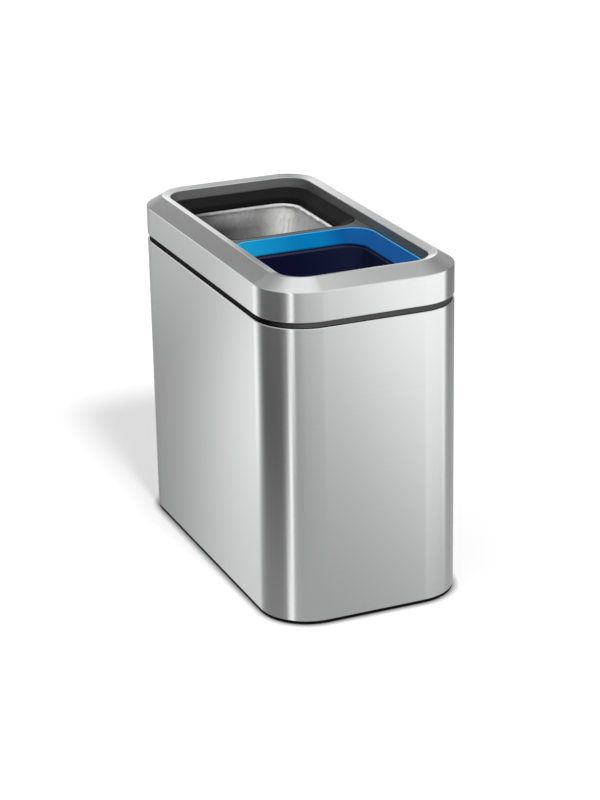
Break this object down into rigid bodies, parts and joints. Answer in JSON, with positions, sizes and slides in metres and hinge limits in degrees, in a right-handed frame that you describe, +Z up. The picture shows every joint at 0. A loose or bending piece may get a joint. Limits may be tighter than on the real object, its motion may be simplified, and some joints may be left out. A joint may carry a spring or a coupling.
{
  "type": "double recycling bin",
  "caption": "Slim open-top steel recycling bin with a loose bevelled ring, two lift-out buckets, a black and a blue funnel collar, and a film bag in the rear bucket.",
  "frame": {"origin": "centre of the footprint, on the floor", "axes": "+X the narrow way, +Y the long way towards the trash bucket (the blue recycling side is -Y), +Z up"},
  "size_m": [0.25, 0.468, 0.425],
  "materials": {
    "brushed_steel": "fine horizontal brushing, clear",
    "black_moulding": "satin moulded plastic",
    "grey_moulding": "satin moulded plastic",
    "blue_moulding": "semi-gloss moulded plastic",
    "navy_moulding": "satin moulded plastic",
    "bag_film": "thin translucent film",
    "pad_rubber": "matt rubber",
    "screw_steel": "zinc plated"
  },
  "bodies": {
    "housing": {"outer_shell": "brushed_steel", "base_tray": "black_moulding", "shell_top_frame": "black_moulding", "foot_pad_1": "pad_rubber", "foot_pad_2": "pad_rubber", "foot_pad_3": "pad_rubber", "foot_pad_4": "pad_rubber", "base_screw_1": "screw_steel", "base_screw_2": "screw_steel", "base_screw_3": "screw_steel", "base_screw_4": "screw_steel", "base_screw_5": "screw_steel", "base_screw_6": "screw_steel"},
    "ring": {"ring_cover": "brushed_steel", "ring_frame": "grey_moulding"},
    "trash_bucket": {"trash_bucket": "black_moulding", "trash_bag": "bag_film"},
    "recycling_bucket": {"recycling_bucket": "navy_moulding"},
    "trash_collar": {"trash_collar": "black_moulding"},
    "recycling_collar": {"recycling_collar": "blue_moulding"}
  },
  "joints": [
    {"name": "ring_lift", "type": "slide", "parent": "housing", "child": "ring", "axis": [0, 0, 1], "range_m": [0, 0.06]},
    {"name": "trash_bucket_lift", "type": "slide", "parent": "housing", "child": "trash_bucket", "axis": [0, 0, 1], "range_m": [0, 0.52]},
    {"name": "recycling_bucket_lift", "type": "slide", "parent": "housing", "child": "recycling_bucket", "axis": [0, 0, 1], "range_m": [0, 0.52]},
    {"name": "trash_collar_lift", "type": "slide", "parent": "trash_bucket", "child": "trash_collar", "axis": [0, 0, 1], "range_m": [0, 0.04]},
    {"name": "recycling_collar_lift", "type": "slide", "parent": "recycling_bucket", "child": "recycling_collar", "axis": [0, 0, 1], "range_m": [0, 0.04]}
  ]
}
